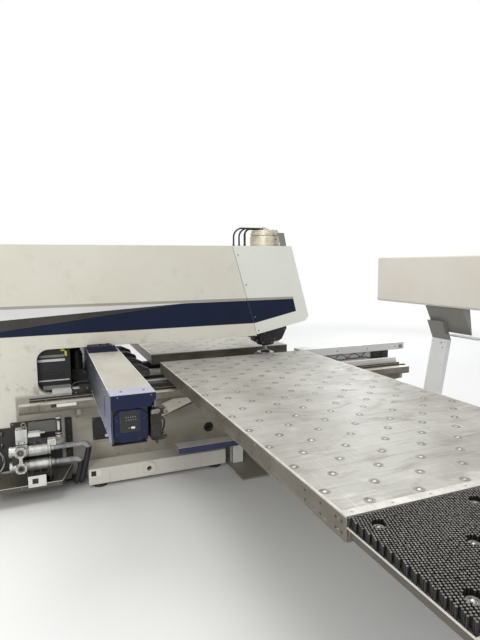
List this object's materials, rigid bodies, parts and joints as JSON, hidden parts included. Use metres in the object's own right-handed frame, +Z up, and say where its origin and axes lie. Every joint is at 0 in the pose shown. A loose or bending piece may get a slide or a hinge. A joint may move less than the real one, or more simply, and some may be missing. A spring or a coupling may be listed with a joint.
{
  "type": "cnc punch press",
  "caption": "C-frame sheet metal punching machine with one turning tool head, travelling ball and brush tables, cross rail with sheet clamps, and a free-standing control console.",
  "frame": {"origin": "on the floor, straight below the axis of the punch", "axes": "+X along the cross rail, +Y to the closed rear of the C-frame, +Z up; the operator stands on the -Y side"},
  "size_m": [8, 5.802, 2.352],
  "materials": {
    "cream_paint": "satin",
    "white_paint": "satin",
    "navy_foil": "matte",
    "dark_foil": "matte",
    "pale_foil": "matte",
    "grey_foil": "matte",
    "blue_paint": "satin",
    "navy_paint": "satin",
    "lid_paint": "satin",
    "grey_paint": "satin",
    "table_steel": "scuffed",
    "skirt_paint": "worn",
    "steel": "machined",
    "dark_steel": "oiled",
    "black_steel": "matte",
    "aluminium": "cast",
    "brush": "bristles",
    "hose": "matte",
    "grey_hose": "ribbed",
    "red_plastic": "gloss",
    "green_plastic": "gloss"
  },
  "bodies": {
    "frame": {"c_frame": "cream_paint", "head_cover": "white_paint", "stripe_band": "navy_foil", "stripe_wedge": "dark_foil", "stripe_pale": "pale_foil", "stripe_line": "grey_foil", "head_screws": "dark_steel", "drive_housing": "aluminium", "drive_ring": "aluminium", "drive_fittings": "steel", "drive_bracket": "grey_paint", "drive_hoses": "hose", "head_body": "black_steel", "die_holder": "dark_steel", "centre_bar": "white_paint", "bar_posts": "black_steel", "valve_panel": "white_paint", "guide_beams": "white_paint", "guide_rails": "dark_steel", "cable_ducts": "white_paint", "drive_rack": "dark_steel", "guide_brackets": "grey_paint", "base_beams": "cream_paint", "foot_pads": "black_steel", "anchor_plates": "grey_paint", "throat_guard": "black_steel", "floor_duct": "grey_paint", "chute_plate": "cream_paint", "toe_bar": "blue_paint", "service_panel": "black_steel", "pump_plate": "black_steel", "pump_body": "aluminium", "pump_hoses": "grey_hose", "drip_tray": "cream_paint", "floor_tracks": "dark_steel", "console_post": "white_paint", "console_arm": "grey_paint", "console_housing": "cream_paint", "switch_cabinet": "cream_paint"},
    "y_carriage": {"cross_rail": "grey_paint", "rail_lid": "lid_paint", "rail_sides": "blue_paint", "rail_ends": "navy_paint", "servo_drives": "navy_paint", "rail_caps": "navy_paint", "end_bracket": "dark_steel", "saddle": "dark_steel", "drive_motor": "black_steel", "table_frames": "skirt_paint", "table_panels": "table_steel", "ball_inserts": "table_steel", "brush_beds": "brush"},
    "x_carriage": {"clamp_carriage": "dark_steel"},
    "clamp_jaws": {"clamp_jaws": "steel"},
    "tool_turn": {"tool_adapter": "black_steel"},
    "ram": {"ram": "steel", "punch": "steel"},
    "die_turn": {"die_ring": "steel", "die": "steel"},
    "cabinet_door": {"cabinet_door": "cream_paint"},
    "estop_button": {"estop_button": "red_plastic"},
    "start_button": {"start_button": "green_plastic"}
  },
  "joints": [
    {"name": "y_travel", "type": "slide", "parent": "frame", "child": "y_carriage", "axis": [0, -1, 0], "range_m": [0, 1.25]},
    {"name": "x_travel", "type": "slide", "parent": "y_carriage", "child": "x_carriage", "axis": [1, 0, 0], "range_m": [-1.25, 1.25]},
    {"name": "jaw_open", "type": "hinge", "parent": "x_carriage", "child": "clamp_jaws", "pos_m": [0, 1.508, 1.066], "axis": [-1, 0, 0], "range_deg": [0, 12]},
    {"name": "tool_rotation", "type": "hinge", "parent": "frame", "child": "tool_turn", "pos_m": [0, 0, 1.2], "axis": [0, 0, 1], "continuous": true},
    {"name": "ram_stroke", "type": "slide", "parent": "tool_turn", "child": "ram", "axis": [0, 0, -1], "range_m": [0, 0.037]},
    {"name": "die_rotation", "type": "hinge", "parent": "frame", "child": "die_turn", "pos_m": [0, 0, 1], "axis": [0, 0, 1], "continuous": true},
    {"name": "door_swing", "type": "hinge", "parent": "frame", "child": "cabinet_door", "pos_m": [0.291, 3.681, 1], "axis": [0, 0, -1], "range_deg": [0, 100]},
    {"name": "estop_press", "type": "slide", "parent": "frame", "child": "estop_button", "axis": [0, 1, 0], "range_m": [0, 0.006], "stiffness_N_per_m": 800, "springref_m": -0.001},
    {"name": "start_press", "type": "slide", "parent": "frame", "child": "start_button", "axis": [0, 1, 0], "range_m": [0, 0.004], "stiffness_N_per_m": 800, "springref_m": -0.001}
  ],
  "couplings": [
    {"joint": "die_rotation", "follows": "tool_rotation", "ratio": 1}
  ]
}
